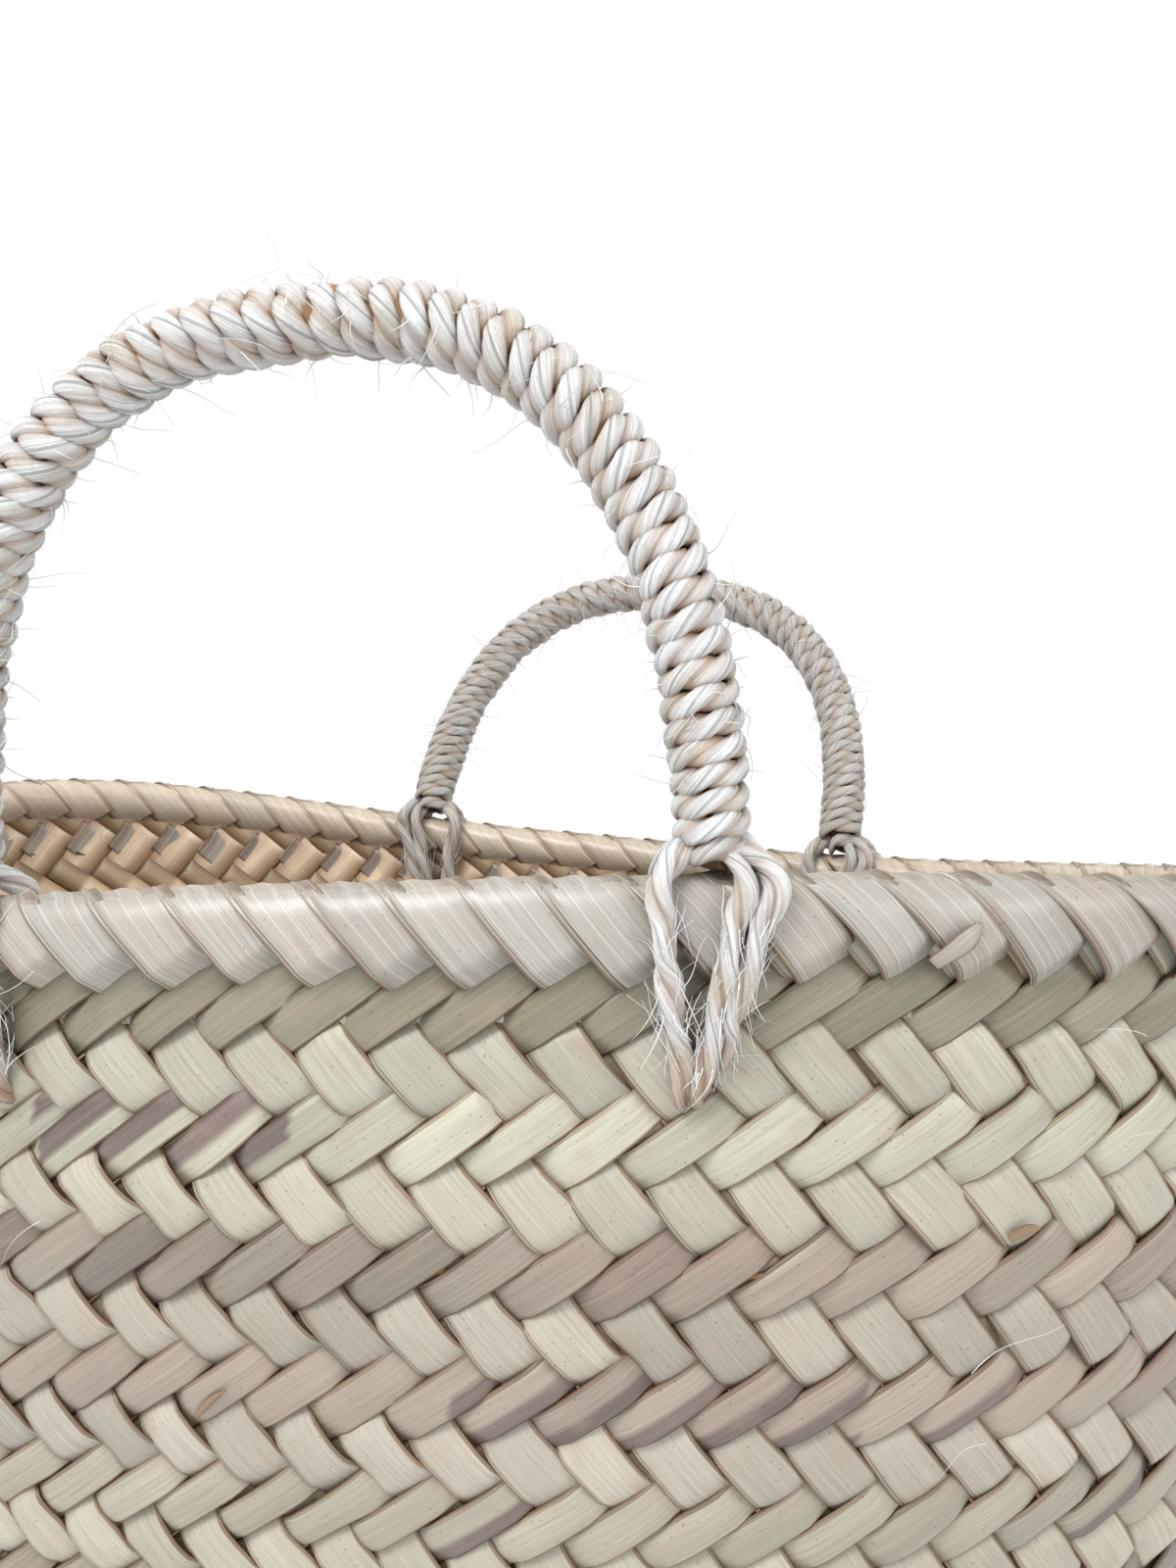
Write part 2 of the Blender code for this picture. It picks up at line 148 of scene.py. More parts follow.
# Leaf colours down the wall, for the strands that fall to the right (U) and to the left (V)
U_TONES = (
    (2.5, srgb(205, 200, 182)), (6.5, srgb(211, 205, 187)), (10.5, srgb(196, 187, 173)),
    (14.5, srgb(207, 198, 184)), (18.5, srgb(205, 198, 180)), (24.5, srgb(198, 190, 172)),
    (32.0, srgb(202, 194, 174)),
)
V_TONES = (
    (0.5, srgb(147, 140, 116)), (4.5, srgb(210, 207, 186)), (8.5, srgb(140, 124, 113)),
    (12.5, srgb(178, 162, 148)), (16.5, srgb(186, 178, 160)), (20.5, srgb(162, 147, 132)),
    (24.5, srgb(190, 182, 164)), (32.0, srgb(186, 176, 156)),
)
SISAL_PALE = srgb(224, 229, 232)
SISAL_TAN = srgb(198, 196, 187)
# colour of painted shade on the sisal cords: their hollows, the side on the handle's core and the lashings'
# tips
SISAL_SHADE_BROWN = srgb(150, 108, 66)
SISAL = (SISAL_PALE, SISAL_TAN, SISAL_SHADE_BROWN)
# painted shade: the back handle is a darker copy of the same cord
HANDLE_SHADE_TONES = {"front": 1.0, "back": np.array([0.70, 0.66, 0.62])}
CORE_BROWN = srgb(138, 104, 68)


def catmull(points, count):
    """A smooth curve through control points, evenly sampled."""
    p = np.array(points, float)
    p = np.vstack([2 * p[0] - p[1], p, 2 * p[-1] - p[-2]])
    out = []
    for i in range(1, len(p) - 2):
        t = np.linspace(0, 1, count, endpoint=False)[:, None]
        a, b, c, d = p[i - 1], p[i], p[i + 1], p[i + 2]
        square, cube = 2 * a - 5 * b + 4 * c - d, 3 * b - a - 3 * c + d
        out.append(0.5 * (2 * b + (c - a) * t + square * t**2 + cube * t**3))
    out.append(p[-2][None])
    return np.vstack(out)


def lengths_along(points):
    """Distance run along a path at each of its points."""
    return np.concatenate([[0], np.cumsum(np.linalg.norm(np.diff(points, axis=0), axis=1))])


def unit(v):
    return v / np.maximum(np.linalg.norm(v, axis=-1, keepdims=True), 1e-12)


def oval(t, a, b):
    c, s = np.cos(t), np.sin(t)
    power = 2 / OUTLINE_POWER
    return a * np.sign(c) * np.abs(c) ** power, b * np.sign(s) * np.abs(s) ** power


def make_tables():
    """Arc-length tables: round the rim, and down the wall."""
    t = np.linspace(-math.pi / 2, 1.5 * math.pi, 20001)
    x, y = oval(t, RIM_HALF[0], RIM_HALF[1])
    run = np.concatenate([[0], np.cumsum(np.hypot(np.diff(x), np.diff(y)))])
    around = run[-1]
    mean_run = (RIM_HALF[0] - BASE_HALF[0] + RIM_HALF[1] - BASE_HALF[1]) / 2
    curve = catmull([(f * mean_run, z) for f, z in PROFILE], 60)
    return t, run / around, around, lengths_along(curve), curve[:, 0] / mean_run, curve[:, 1]


ANGLE_T, ANGLE_F, AROUND, DOWN_S, DOWN_FLARE, DOWN_Z = make_tables()


def rim_lift(t):
    """How far the rim stands above its level, as in the CAD."""
    left = (1 - np.cos(t)) / 2
    return LEFT_END_LIFT * left**2 - RIM_TWIST * np.sin(2 * t) + RIM_WAVE * np.sin(3 * t)


def wall(f, s):
    """Points on the wall's middle surface.

    f is the share of the way round, and s the way down from the rim's top.
    """
    t = np.interp(np.mod(f, 1.0), ANGLE_F, ANGLE_T)
    flare = np.interp(s, DOWN_S, DOWN_FLARE)
    z = np.interp(s, DOWN_S, DOWN_Z) - np.minimum(s, 0.0)
    a = BASE_HALF[0] + flare * (RIM_HALF[0] - BASE_HALF[0])
    b = BASE_HALF[1] + flare * (RIM_HALF[1] - BASE_HALF[1])
    x, y = oval(t, a, b)
    return np.stack([x, y, z * (1 + rim_lift(t) / RIM_HEIGHT)], -1)


def wall_normal(f, s):
    """The wall's outward direction."""
    step = 0.0015
    along = wall(f + step, s) - wall(f - step, s)
    down = wall(f, s + step) - wall(f, s - step)
    return unit(np.cross(down, along))


def share_at(x, side):
    """The share of the way round where the rim has this X, on the front (-1) or the back (+1)."""
    c = np.sign(x) * np.minimum(np.abs(x) / RIM_HALF[0], 1.0) ** (OUTLINE_POWER / 2)
    t = np.arccos(c) * side
    t = np.where(t < -math.pi / 2, t + 2 * math.pi, t)
    return np.interp(t, ANGLE_T, ANGLE_F)


def rows_to_depth(k):
    """Way down from the rim's top to a row of the plait."""
    return RIM_DEPTH + (k + 0.5) * ROW


def pitch_at(s):
    """Distance between strands round the basket at a depth."""
    flare = np.interp(s, DOWN_S, DOWN_FLARE)
    return AROUND * (0.71 + 0.29 * flare) / STRANDS


def square_wave(phase, sharp):
    """+1 over, -1 under, with period 4 and the middle of 'over' at 0."""
    p = np.mod(phase + 2, 4) - 2
    g = np.clip((1 - np.abs(p)) / sharp, -1, 1)
    return np.sin(math.pi / 2 * g), p


def noise_rows(count, length, step, seed):
    """Random knots for smooth curves, one row for each strand."""
    return np.random.default_rng(seed).normal(size=(count, int(length / step) + 4))


def sample_noise(values, k, step):
    """Samples noise_rows at positions k, the same for all rows."""
    q = k / step + 1
    i = np.clip(np.floor(q).astype(int), 0, values.shape[1] - 2)
    t = q - i
    t = t * t * (3 - 2 * t)
    return values[:, i] * (1 - t) + values[:, i + 1] * t


# Leaf section across a strand: (place across, thickness share, groove share, how brown)
SECTION = np.array([
    (-1.00, -0.50, 0, 1), (-0.985, -0.15, 0, 1), (-0.93, 0.0, 0, 0.95), (-0.885, 0.0, 0, 0.15),
    (-0.845, 0.0, 1, 1), (-0.80, 0.0, 0, 0), (-0.60, 0.0, 0, 0), (-0.30, 0.0, 0, 0),
    (0.0, 0.0, 0, 0), (0.30, 0.0, 0, 0), (0.62, 0.0, 0, 0), (0.865, 0.0, 0, 0),
    (0.92, 0.0, 0, 0.95), (0.985, -0.15, 0, 1), (1.00, -0.50, 0, 1),
    (0.96, -1.0, 0, 1), (0.0, -1.0, 0, 0), (-0.96, -1.0, 0, 1),
])


def grid_mesh(name, points, uv, tint):
    """A mesh from arrays of [strand, along, across]. Each strand is a tube with capped ends."""
    n, m, c = points.shape[:3]
    verts = points.reshape(-1, 3)
    base = (np.arange(n) * m * c)[:, None, None]
    i = np.arange(m - 1)[None, :, None] * c
    j = np.arange(c)[None, None, :]
    k = (j + 1) % c
    quads = np.stack([base + i + j, base + i + k, base + i + c + k, base + i + c + j], -1).reshape(-1, 4)
    start = np.arange(c)[::-1][None, :] + np.arange(n)[:, None] * m * c
    end = np.arange(c)[None, :] + np.arange(n)[:, None] * m * c + (m - 1) * c
    mesh = bpy.data.meshes.new(name)
    mesh.vertices.add(len(verts))
    mesh.vertices.foreach_set("co", verts.astype(np.float32).ravel())
    loops = np.concatenate([quads.ravel(), start.ravel(), end.ravel()])
    sizes = np.concatenate([np.full(len(quads), 4), np.full(2 * n, c)])
    mesh.loops.add(len(loops))
    mesh.loops.foreach_set("vertex_index", loops.astype(np.int32))
    mesh.polygons.add(len(sizes))
    starts = np.concatenate([[0], np.cumsum(sizes)[:-1]])
    mesh.polygons.foreach_set("loop_start", starts.astype(np.int32))
    mesh.update(calc_edges=True)
    mesh.validate()
    mesh.polygons.foreach_set("use_smooth", np.ones(len(mesh.polygons), bool))
    layer = mesh.uv_layers.new(name="Strand")
    index = np.empty(len(mesh.loops), np.int32)
    mesh.loops.foreach_get("vertex_index", index)
    layer.data.foreach_set("uv", uv.reshape(-1, 2)[index].astype(np.float32).ravel())
    colours = mesh.color_attributes.new(name="Tint", type="FLOAT_COLOR", domain="POINT")
    rgba = np.concatenate([np.clip(tint, 0, 1).reshape(-1, 3), np.ones((len(verts), 1))], 1)
    colours.data.foreach_set("color", rgba.astype(np.float32).ravel())
    mesh.update()
    made = bpy.data.objects.new(name, mesh)
    bpy.context.scene.collection.objects.link(made)
    return made


def tone_at(tones, k):
    """A leaf's colour at a row, between the rows of a table."""
    rows = [row for row, _ in tones]
    return np.stack([np.interp(k, rows, [colour[i] for _, colour in tones]) for i in range(3)], -1)


def strand_tints(kind, f, k, wave, across):
    """Colour of the leaf by row, with a tone for each strand and each float (a length on top).

    It is brown at the edges, darkened with painted shade where it dives under another strand, and lightened
    with painted light on its back, which is the inside of the basket.
    """
    r = np.random.default_rng(5 if kind == "U" else 6)
    n, m, c = f.shape
    tone = r.normal(size=(STRANDS, 1, 1, 1)) * 0.045
    cell = np.floor((k + FIRST_FLOAT[kind] + 1) / 4).astype(int)
    cells = cell.max() + 2
    per_float = r.normal(size=(STRANDS, cells))[:, cell][:, :, None, None] * 0.07
    warm = r.random(size=(STRANDS, cells))[:, cell][:, :, None, None]
    striped = r.random(size=(STRANDS, cells))[:, cell][:, :, None]
    centre = 4 * cell - FIRST_FLOAT[kind] + 1
    base = tone_at(U_TONES if kind == "U" else V_TONES, centre.astype(float))[None, :, None, :]
    base = np.broadcast_to(base, (n, m, c, 3)) * (1 - 0.30 * warm) + CREAM * (0.30 * warm)
    turn = np.mod(f + 0.5, 1.0) - 0.5
    if kind == "V":
        def in_row(row):
            return (np.abs(centre - row) < 1)[None, :, None]

        # the seam's dark row pales to the right of the front
        pale = in_row(UPPER_SEAM_ROW) * np.clip((turn - 0.025) / 0.03, 0, 1)
        base = base * (1 + 0.38 * pale[..., None])
        # half of a leaf is mauve in two places of the front, and here and there elsewhere
        left = in_row(4.5) & (turn < -0.004) & (turn > -0.055) & (striped < 0.97)
        right = in_row(12.5) & (turn < 0.10) & (turn > 0.025) & (striped < 0.9)
        elsewhere = (striped > 0.93) & (k > 6)[None, :, None]
        stripe = ((left & (across < 0.2)) | ((right | elsewhere) & (across > 0.05)))[..., None]
        base = np.where(stripe, MAUVE * (0.9 + 0.2 * warm), base)
    # painted shade: darkened where the strand dives under another
    dive_shade = np.clip(0.25 - wave, 0, 1)[..., None] * 0.60
    out = base * (1 + tone + per_float) * (1 - dive_shade * (1 - DIVE_SHADE_BROWN))
    edge = SECTION[:, 3][None, None, :, None]
    # painted light: the back of the leaf, on the inside of the basket, is lightened
    inner = (SECTION[:, 1] < -0.9)[None, None, :, None]
    return out * (1 - edge * (1 - EDGE_BROWN)) * LEAF_TONE * np.where(inner, INSIDE_PAINTED_LIGHT, 1.0)


def plait(name, kind, k_low, k_high):
    """All strands of one direction between two rows, as one mesh."""
    numbers = np.arange(STRANDS)[:, None, None]
    k = np.linspace(k_low, k_high, int(round((k_high - k_low) * STEPS_PER_ROW)) + 1)
    w, deep, groove, _ = SECTION.T
    seed = 31 if kind == "U" else 47

    def wander(which, step, amount):
        rows = noise_rows(STRANDS, LAST_ROW + 8, step, seed + which)
        return sample_noise(rows, k + 3, step)[:, :, None] * amount

    shift = wander(0, 2.0, 0.030)
    breadth = 1 + wander(1, 2.0, 0.050)
    roll = wander(2, 2.0, 0.19)
    rise = 1 + wander(3, 2.0, 0.17)
    cut = np.clip(wander(4, 3.0, 0.22) + 0.10, 0, 0.45) * MM
    cup = wander(5, 4.0, 0.00016)
    kc = k[None, :, None]
    pitch = pitch_at(rows_to_depth(kc))
    sign = 1 if kind == "U" else -1
    share, other = (U_SHARE, V_SHARE) if kind == "U" else (V_SHARE, U_SHARE)
    slope = math.atan2(ROW, share * AROUND / STRANDS)
    half = 0.5 * pitch * math.sin(slope) * LEAF_WIDTH[kind] * breadth
    du = w * half * math.sin(slope) / pitch
    dk = -sign * w * half * math.cos(slope) / ROW
    u = numbers + 0.5 + sign * share * kc + shift + du
    phase = kc + sign * du + other * dk - FIRST_FLOAT[kind]
    p = np.mod(phase + 2, 4) - 2
    wave, p = square_wave(p * (1 + 0.16 * w**2), 0.34)
    bulge = np.where(np.abs(p) < 1, 1 - p * p, 0.0)
    crown = (1 - w**2) * (0.00032 + 0.00050 * bulge + cup)
    z = wave * LEAF_RISE * rise + crown + bulge * 0.00042 + deep * LEAF_THICKNESS
    z = z + roll * w * half * bulge * 0.8 - groove * cut
    z = z + (0.00028 * w if kind == "V" else 0)
    f, s, z, wave, span = np.broadcast_arrays(u / STRANDS, rows_to_depth(kc + dk), z, wave, w * half / MM)
    points = wall(f, s) + wall_normal(f, s) * z[..., None]
    length = np.broadcast_to(kc * ROW / math.sin(slope) / MM, f.shape)
    uv = np.stack([span + numbers * 37.3 + (0 if kind == "U" else 500), length], -1)
    tints = strand_tints(kind, f, k, wave, np.broadcast_to(w, f.shape))
    return grid_mesh(name, points, uv, tints)


def rim_path(sigma):
    """The folded leaf's way over the rim, from the distance along it.

    It gives the depth, the outward offset, the two parts of the normal and the whole length.
    """
    stations = [
        (0.0300, 0.0016), (0.0260, 0.0024), (0.0220, 0.0036), (0.0170, 0.0049), (0.0110, 0.0057),
        (0.0055, 0.0053), (0.0022, 0.0039), (0.0004, 0.0016), (0.0001, -0.0010), (0.0016, -0.0036),
        (0.0045, -0.0052), (0.0085, -0.0052), (0.0115, -0.0042), (0.0138, -0.0026), (0.0155, -0.0008),
    ]
    curve = catmull(stations, 24)
    run = lengths_along(curve)
    grad = np.gradient(curve, run, axis=0)
    s = np.interp(sigma, run, curve[:, 0])
    o = np.interp(sigma, run, curve[:, 1])
    return s, o, np.interp(sigma, run, -grad[:, 1]), np.interp(sigma, run, -grad[:, 0]), run[-1]


def rim_wraps(name):
    """The strands folded over the rim, each with its left edge lapped over the one before."""
    numbers = np.arange(STRANDS)[:, None, None]
    total = rim_path(0.0)[4]
    sigma = np.linspace(0.0, total - 0.0005, 74)[None, :, None]
    w, deep, groove, edge = SECTION.T
    pitch = AROUND / STRANDS * 1.02
    slope = WRAP_SLOPE
    r = np.random.default_rng(8)
    fat = np.abs(r.normal(size=(STRANDS, 1, 1)))
    half = 0.5 * pitch * math.sin(slope) * 1.15 * (1 + r.normal(size=(STRANDS, 1, 1)) * 0.045)
    shift = r.normal(size=(STRANDS, 1, 1)) * 0.035
    k_foot = (rim_path(0.0)[0] - RIM_DEPTH) / ROW - 0.5
    bow = 0.10 + 0.035 * r.normal(size=(STRANDS, 1, 1))
    bow = bow * np.sin(np.clip((sigma - WRAP_FOOT) / 0.030, 0, 1) * math.pi)
    u = numbers + 0.5 + U_SHARE * k_foot - sigma / math.tan(slope) / pitch + shift + bow
    du = w * half * math.sin(slope) / pitch
    sg = np.clip(sigma + w * half * math.cos(slope), 0, total)
    s, o, ns, no, _ = rim_path(sg)
    # on the outside each wrap dives under the first strand that crosses it
    crossing = u + du - 0.5 - numbers + V_SHARE * ((s - RIM_DEPTH) / ROW - 0.5)
    under = 0.5 + 0.5 * np.sin(math.pi / 2 * np.clip((crossing + 0.5) / 0.42, -1, 1))
    under = under * (sg < 0.6 * total)
    o = o * (1 - under) - LEAF_RISE * 1.1 * under
    top = np.exp(-(((sg - WRAP_TOP * total) / 0.008) ** 2))
    lap = (-w * WRAP_LAP + (1 - w**2) * (0.00050 + 0.00040 * fat)) * (1 - 0.8 * top)
    z = lap + deep * LEAF_THICKNESS - groove * (0.00015 + 0.00028 * fat)
    f, s, o, ns, no, z = np.broadcast_arrays((u + du) / STRANDS, s, o, ns, no, z)
    smooth_s = np.maximum(s, LOWEST_NORMAL)
    n = wall_normal(f, smooth_s)
    down = unit(wall(f, smooth_s + 0.002) - wall(f, smooth_s))
    points = wall(f, s) + n * (o + z * no)[..., None] + down * (z * ns)[..., None]
    mix = r.random((STRANDS, 1, 1, 1))
    tint = RIM_TONE * (RIM_GREY * mix + RIM_PINK * (1 - mix))
    tint = tint * (1 + r.normal(size=(STRANDS, 1, 1, 1)) * 0.045)
    turn = np.mod(f + 0.5, 1.0)[..., None] - 0.5
    inside = np.clip((sg / total - 0.60) / 0.06, 0, 1)[..., None]
    tint = tint * (1 + inside * (RIM_INSIDE - 1))
    # the right side lies in the shade of the next wrap's edge
    tint = tint * (1 - np.clip((w - 0.55) / 0.35, 0, 1)[:, None] * (1 - WRAP_SHADE))
    # painted shade: darker towards the right of the front
    tint = tint * (1 - 0.07 * np.clip(turn * 6, 0, 1))
    tint = tint * (1 - (edge * (1 - 0.75 * top))[..., None] * (1 - EDGE_BROWN))
    span = np.broadcast_to(w * half / MM, f.shape) + numbers * 37.3 + 1000
    uv = np.stack([span, np.broadcast_to(sigma / math.sin(slope) / MM, f.shape)], -1)
    return grid_mesh(name, points, uv, tint)


def base_plait(name):
    """The oval floor: the same twill, flat, with its ends tucked under the wall's foot."""
    w, deep, groove, edge = SECTION.T
    spacing = FLOOR_SPACING
    half = spacing / 2 * 0.985
    reach = int(0.24 / spacing)
    parts, uvs, tints = [], [], []
    r = np.random.default_rng(14)
    for turn in (0, 1):
        way = np.array([math.cos(math.pi / 4), math.sin(math.pi / 4) * (1 - 2 * turn)])
        side = np.array([-way[1], way[0]])
        for i in range(-reach, reach + 1):
            line = np.linspace(-0.25, 0.25, 401)
            xy = line[:, None] * way + i * spacing * side
            reached = (np.abs(xy) / (np.array(BASE_HALF) - FLOOR_MARGIN)) ** OUTLINE_POWER
            inside = reached[:, 0] + reached[:, 1] < 1
            if inside.sum() < 12:
                continue
            t = np.linspace(line[inside].min(), line[inside].max(), FLOOR_STEPS)[:, None]
            wave, _ = square_wave(t / spacing + (i if turn == 0 else i + 2), 0.42)
            z = FLOOR_HEIGHT + wave * LEAF_RISE * 0.7 + (1 - w**2) * 0.0003
            z = z + deep * LEAF_THICKNESS - groove * 0.0002
            sideways = (i * spacing + w * half)[None, :, None] * np.append(side, 0)
            xyz = t[..., None] * np.append(way, 0) + sideways
            xyz[..., 2] = z
            colour = FLOOR_TONES[0 if r.random() < 0.5 else 1] * (1 + r.normal() * 0.05)
            # painted shade: darkened where a strand dives under another
            dive_shade = np.clip(0.35 - wave, 0, 1)[..., None] * 0.7
            tint = LEAF_TONE * 1.15 * colour * (1 - dive_shade * (1 - DIVE_SHADE_BROWN))
            tint = tint * (1 - 0.8 * edge[None, :, None] * (1 - EDGE_BROWN))
            parts.append(xyz)
            tints.append(np.broadcast_to(tint, xyz.shape))
            span, length = np.broadcast_arrays(w * half / MM + 37.3 * i + 3000, t / MM)
            uvs.append(np.stack([span, length], -1))
    return grid_mesh(name, np.array(parts), np.array(uvs), np.array(tints))


def path_frames(path, first):
    """Tangents and two cross directions along a path, turned as little as they can be."""
    tangent = unit(np.gradient(path, axis=0))
    across = np.empty_like(path)
    last = first
    for i, t in enumerate(tangent):
        last = last - t * np.dot(last, t)
        last = last / np.linalg.norm(last)
        across[i] = last
    return tangent, across, np.cross(tangent, across)


def plies(path, across, other, diameter, pitch, count, sides, seed, colours,
          fullness=0.33, twist=-1, flat=1.0, silk=0.0):
    """Points, UVs and tints of a cord's plies round a path.

    across and other are the cross directions. fullness is a ply's radius against the cord's
    diameter, flat squashes the cord along across, and silk is the depth of the fibre bundles
    that run along each ply.
    """
    run = lengths_along(path)
    r = np.random.default_rng(seed)
    knots = np.linspace(0, run[-1], int(run[-1] / 0.008) + 4)

    def wander(amount):
        return np.interp(run, knots, r.normal(size=len(knots))) * amount

    psi = np.linspace(0, 2 * math.pi, sides, endpoint=False)[None, :]
    turn = twist * 2 * math.pi * (run / pitch) + wander(0.18)
    width = diameter * (1 + wander(0.03))
    pale, tan, brown = colours
    out, uvs, tints = [], [], []
    for ply in range(count):
        angle = turn + 2 * math.pi * ply / count
        fat = width * (1 + wander(0.035))
        radial = np.cos(angle)[:, None] * across + np.sin(angle)[:, None] * other
        sideways = -np.sin(angle)[:, None] * across + np.cos(angle)[:, None] * other
        centre = path + radial * ((0.5 - fullness) * fat)[:, None]
        coarse = np.sin(6 * psi + 1.3 * ply + (wander(1.1) + run * 160)[:, None])
        fine = np.sin(9 * psi + (wander(1.4) - run * 110)[:, None])
        bundles = coarse + 0.6 * fine
        rho = (fat * fullness)[:, None] * (1 + silk * bundles)
        points = centre[:, None] + (rho * np.cos(psi))[..., None] * radial[:, None]
        points = points + (rho * 1.06 * np.sin(psi))[..., None] * sideways[:, None]
        reach = np.sum((points - path[:, None]) * across[:, None], -1, keepdims=True)
        points = points - across[:, None] * ((1 - flat) * reach)
        # painted shade: the side facing the cord's middle, the creases between plies and the hollows
        # between fibre bundles darken towards the shade colour
        inner = np.clip(-np.cos(psi), 0, 1) ** 1.5
        crease = np.clip(np.abs(np.sin(psi)) * 1.15 - 0.55, 0, 1)
        mix = np.clip(0.32 + wander(0.30)[:, None] + 0.12 * np.sin(3 * psi + ply), 0, 1)[..., None]
        base = pale * (1 - mix) + tan * mix
        shade = np.clip(inner * 0.9 + crease * 0.45 - 1.7 * silk * np.minimum(bundles, 0), 0, 1)
        shade = np.broadcast_to(shade, (len(path), sides))[..., None]
        out.append(points)
        tints.append(base * (1 - shade) + brown * shade)
        around = psi * np.mean(diameter) * fullness / MM + 23.7 * (ply + seed * 3)
        uvs.append(np.stack(np.broadcast_arrays(around, run[:, None] / MM), -1))
    return out, uvs, tints


def cord_object(name, parts):
    out, uvs, tints = parts
    return grid_mesh(name, np.array(out), np.array(uvs), np.array(tints))


def foot_point(x, side):
    return wall(share_at(x, side), 0.0) + np.array([0, 0, HINGE_ABOVE_RIM])


def handle_frame(prefix):
    """Origin and three directions of a handle: along its hinge, away from its plane, up its legs."""
    offset, side, lean = HANDLES[prefix]
    left = foot_point(offset - HANDLE_HALF_SPAN, side)
    right = foot_point(offset + HANDLE_HALF_SPAN, side)
    along = unit(right - left)
    up = unit(np.array([0, 0, 1]) - along * along[2])
    up = np.array(Matrix.Rotation(-side * lean, 3, Vector(along)) @ Vector(up))
    return (left + right) / 2, along, np.cross(up, along), up, np.linalg.norm(right - left) / 2


def handle_arch(prefix, below):
    """Fine centre line of a handle, from below one foot to the same distance below the other.

    It gives the points, how near the middle each is, the direction away from the handle's
    plane, and the distance run.
    """
    origin, along, away, up, half = handle_frame(prefix)
    angle = np.linspace(math.pi, 0, 1201)
    c, s = np.cos(angle), np.maximum(np.sin(angle), 0)
    x = half * np.sign(c) * np.abs(c) ** (2 / HANDLE_POWER)
    z = HANDLE_RISE * s ** (2 / HANDLE_POWER)
    x = np.concatenate([[x[0]], x, [x[-1]]])
    z = np.concatenate([[-below], z, [-below]])
    s = np.concatenate([[0], s, [0]])
    path = origin + x[:, None] * along + z[:, None] * up
    run = lengths_along(path)
    fine = np.linspace(0, run[-1], 1600)
    path = np.stack([np.interp(fine, run, path[:, i]) for i in range(3)], -1)
    return path, np.interp(fine, run, s), away, fine


def handle_wrap(prefix):
    """The two-ply cord wound round a handle in a right-handed screw."""
    below, flat = WRAP_BELOW, WRAP_FLATNESS[prefix]
    path, middle, away, run = handle_arch(prefix, below)
    turn = FOOT_TURN + (MIDDLE_TURN - FOOT_TURN) * middle
    r = np.random.default_rng(61 if prefix == "front" else 62)
    knots = np.linspace(0, run[-1], int(run[-1] / 0.012))
    turn = turn * (1 + 0.05 * np.interp(run, knots, r.normal(size=len(knots))))
    wound = np.concatenate([[0], np.cumsum(np.diff(run) / turn[:-1])])
    n = np.linspace(0, wound[-1], int(wound[-1] * SAMPLES_PER_TURN))
    centre = np.stack([np.interp(n, wound, path[:, i]) for i in range(3)], -1)
    near = np.interp(n, wound, middle)
    diameter = np.interp(n, wound, turn) * WRAP_CORD
    tangent = unit(np.gradient(centre, axis=0))
    binormal = np.cross(tangent, away)
    angle = 2 * math.pi * n
    radial = np.cos(angle)[:, None] * away + np.sin(angle)[:, None] * binormal
    outer = (HANDLE_FOOT_RADIUS + (HANDLE_MIDDLE_RADIUS - HANDLE_FOOT_RADIUS) * near) * 0.95
    ends = np.minimum(n, wound[-1] - n)
    outer = outer - np.clip(0.4 - ends, 0, 1) * 0.0012
    # the feet are rounded, so that they clear the rim as the handle swings
    # the same limit also holds the rest of the arch to a little under SWING_CLEARANCE
    along_arch = np.interp(n, wound, run)
    depth = np.clip(below - np.minimum(along_arch, run[-1] - along_arch), 0, None) + 0.0014
    rounded = np.sqrt(np.maximum(SWING_CLEARANCE**2 - depth**2, 0.0042**2))
    outer = np.minimum(outer, rounded)
    halves = int(wound[-1] * 2) + 2
    jitter = np.interp(n, np.arange(halves) / 2, r.normal(size=halves)) * 0.00022
    cord = centre + radial * (outer - diameter * flat / 2 + jitter)[:, None]
    along = unit(np.gradient(cord, axis=0))
    out_way = unit(radial - along * np.sum(radial * along, -1, keepdims=True))
    other = np.cross(along, out_way)
    out, uvs, tints = plies(cord, out_way, other, diameter, WRAP_PLY_PITCH, 2, 18,
                            3 if prefix == "front" else 4, SISAL, flat=flat, silk=0.045)
    # painted shade: the side that lies on the core is darkened towards brown
    shaded = []
    for points, tint in zip(out, tints):
        height = np.sum((points - cord[:, None]) * out_way[:, None], -1) / (diameter[:, None] / 2)
        deep = np.clip((0.70 * flat - height) * 1.8, 0, 1)[..., None] * 0.9
        shaded.append((tint * (1 - deep) + SISAL_SHADE_BROWN * deep) * HANDLE_SHADE_TONES[prefix])
    return cord_object(prefix + "_cord_wrap", (out, uvs, shaded)), centre, radial, outer


def handle_core(prefix):
    """The three-ply rope inside a handle."""
    path, middle, away, _ = handle_arch(prefix, 0.004)
    path, middle = path[::6], middle[::6]
    tangent = unit(np.gradient(path, axis=0))
    thicker = (HANDLE_MIDDLE_RADIUS - HANDLE_FOOT_RADIUS) * 0.75 * middle
    diameter = 2 * (HANDLE_FOOT_RADIUS - 0.0042 + thicker)
    parts = plies(path, np.broadcast_to(away, path.shape), np.cross(tangent, away),
                  diameter, 0.03, 3, 8, 9, (CORE_BROWN,) * 3, fullness=0.28, twist=1)
    return cord_object(prefix + "_core_rope", parts)


